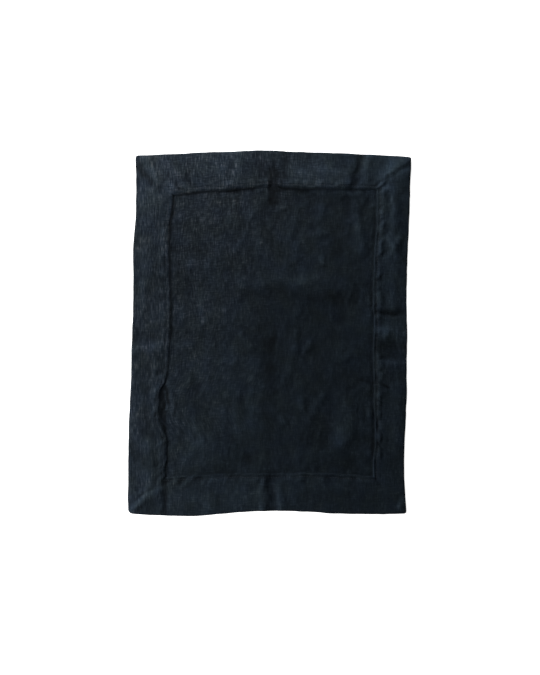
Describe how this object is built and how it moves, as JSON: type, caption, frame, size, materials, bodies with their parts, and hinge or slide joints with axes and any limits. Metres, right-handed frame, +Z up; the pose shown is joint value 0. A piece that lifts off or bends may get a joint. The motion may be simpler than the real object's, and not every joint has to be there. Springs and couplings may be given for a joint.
{
  "type": "fabric placemat",
  "caption": "Rectangular dark linen placemat lying flat, with a wide hem turned onto its upper face, mitred corners and soft press folds.",
  "frame": {"origin": "under the middle of the cloth's box, on the surface it lies on", "axes": "+Z up, out of the face that the hem is turned onto; +Y along the longer sides; +X across"},
  "size_m": [0.358, 0.4628, 0.0047],
  "materials": {
    "linen": "matt washed plain-weave linen, dark indigo grey"
  },
  "bodies": {
    "root": {"placemat_cloth": "linen"}
  },
  "joints": []
}
